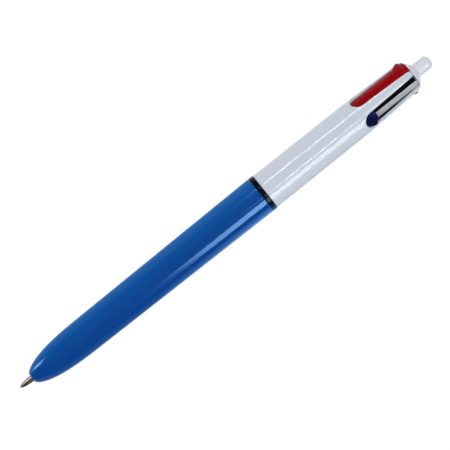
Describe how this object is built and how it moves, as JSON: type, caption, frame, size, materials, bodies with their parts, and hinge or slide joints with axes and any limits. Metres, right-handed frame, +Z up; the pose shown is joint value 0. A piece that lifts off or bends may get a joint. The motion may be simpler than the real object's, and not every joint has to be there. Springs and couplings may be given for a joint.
{
  "type": "multicolor click pen",
  "caption": "Retractable multicolour ball pen: sliding thumb tabs in a white slotted barrel, a blue screw-on lower barrel, a black joint ring, a top knob and a pocket clip.",
  "frame": {"origin": "on the resting surface under the clip, at the middle of the pen's bounding box", "axes": "+X along the pen towards its knob, -X towards its writing tip, +Z up, away from the clip; +Y to the left when looking along +X"},
  "size_m": [0.15, 0.0116, 0.0135],
  "materials": {
    "blue_barrel": "glossy moulded plastic",
    "black_ring": "glossy moulded plastic",
    "white_barrel": "glossy moulded plastic",
    "knob_white": "satin moulded plastic",
    "core_grey": "satin moulded plastic",
    "guide_white": "matte moulded plastic",
    "spring_steel": "bright drawn wire",
    "holder_brass": "turned brass",
    "tip_metal": "turned nickel-silver",
    "ball_metal": "ground ball",
    "slide_blue": "glossy moulded plastic",
    "tube_blue": "translucent tube full of ink",
    "slide_red": "glossy moulded plastic",
    "tube_red": "translucent tube full of ink",
    "slide_black": "glossy moulded plastic",
    "tube_black": "translucent tube full of ink",
    "slide_green": "glossy moulded plastic",
    "tube_green": "translucent tube full of ink"
  },
  "bodies": {
    "upper_body": {"upper_barrel": "white_barrel", "pocket_clip": "white_barrel", "top_cap": "knob_white", "guide_core": "core_grey", "spring_guide": "guide_white", "spring_blue": "spring_steel", "spring_red": "spring_steel", "spring_black": "spring_steel", "spring_green": "spring_steel"},
    "ring_body": {"joint_ring": "black_ring"},
    "lower_body": {"lower_barrel": "blue_barrel"},
    "slide_blue_body": {"slide_blue": "slide_blue"},
    "refill_blue_body": {"refill_tube_blue": "tube_blue", "tip_holder_blue": "holder_brass", "tip_cone_blue": "tip_metal", "tip_ball_blue": "ball_metal"},
    "slide_red_body": {"slide_red": "slide_red"},
    "refill_red_body": {"refill_tube_red": "tube_red", "tip_holder_red": "holder_brass", "tip_cone_red": "tip_metal", "tip_ball_red": "ball_metal"},
    "slide_black_body": {"slide_black": "slide_black"},
    "refill_black_body": {"refill_tube_black": "tube_black", "tip_holder_black": "holder_brass", "tip_cone_black": "tip_metal", "tip_ball_black": "ball_metal"},
    "slide_green_body": {"slide_green": "slide_green"},
    "refill_green_body": {"refill_tube_green": "tube_green", "tip_holder_green": "holder_brass", "tip_cone_green": "tip_metal", "tip_ball_green": "ball_metal"}
  },
  "joints": [
    {"name": "slide_blue_push", "type": "slide", "parent": "upper_body", "child": "slide_blue_body", "axis": [-1, 0, 0], "range_m": [-0.0149, 0], "deforming": ["spring_blue", "refill_tube_blue", "tip_holder_blue", "tip_cone_blue", "tip_ball_blue"]},
    {"name": "refill_blue_tilt", "type": "hinge", "parent": "slide_blue_body", "child": "refill_blue_body", "pos_m": [0.02605, -0.00205, 0.00975], "axis": [0, -0.7071, -0.7071], "range_deg": [-1.4, 0]},
    {"name": "slide_red_push", "type": "slide", "parent": "upper_body", "child": "slide_red_body", "axis": [-1, 0, 0], "range_m": [0, 0.0149], "stiffness_N_per_m": 60, "springref_m": -0.005, "deforming": ["spring_red", "refill_tube_red", "tip_holder_red", "tip_cone_red", "tip_ball_red"]},
    {"name": "refill_red_tilt", "type": "hinge", "parent": "slide_red_body", "child": "refill_red_body", "pos_m": [0.04095, 0.00205, 0.00975], "axis": [0, -0.7071, 0.7071], "range_deg": [0, 1.4]},
    {"name": "slide_black_push", "type": "slide", "parent": "upper_body", "child": "slide_black_body", "axis": [1, 0, 0], "range_m": [-0.0149, 0], "stiffness_N_per_m": 60, "springref_m": 0.005, "deforming": ["spring_black", "refill_tube_black", "tip_holder_black", "tip_cone_black", "tip_ball_black"]},
    {"name": "refill_black_tilt", "type": "hinge", "parent": "slide_black_body", "child": "refill_black_body", "pos_m": [0.04095, -0.00205, 0.00565], "axis": [0, -0.7071, 0.7071], "range_deg": [-1.4, 0]},
    {"name": "slide_green_push", "type": "slide", "parent": "upper_body", "child": "slide_green_body", "axis": [1, 0, 0], "range_m": [-0.0149, 0], "stiffness_N_per_m": 60, "springref_m": 0.005, "deforming": ["spring_green", "refill_tube_green", "tip_holder_green", "tip_cone_green", "tip_ball_green"]},
    {"name": "refill_green_tilt", "type": "hinge", "parent": "slide_green_body", "child": "refill_green_body", "pos_m": [0.04095, 0.00205, 0.00565], "axis": [0, -0.7071, -0.7071], "range_deg": [-1.4, 0]},
    {"name": "thread_advance", "type": "slide", "parent": "upper_body", "child": "ring_body", "axis": [-1, 0, 0], "range_m": [0, 0.0045]},
    {"name": "lower_barrel_turn", "type": "hinge", "parent": "ring_body", "child": "lower_body", "pos_m": [-0.02905, 0, 0.0077], "axis": [-1, 0, 0], "range_deg": [0, 1080]}
  ],
  "couplings": [
    {"joint": "refill_blue_tilt", "follows": "slide_blue_push", "rad_per_m": 1.6267},
    {"joint": "refill_red_tilt", "follows": "slide_red_push", "rad_per_m": 1.6267},
    {"joint": "refill_black_tilt", "follows": "slide_black_push", "rad_per_m": 1.6267},
    {"joint": "refill_green_tilt", "follows": "slide_green_push", "rad_per_m": 1.6267},
    {"joint": "lower_barrel_turn", "follows": "thread_advance", "rad_per_m": 4188.8}
  ]
}
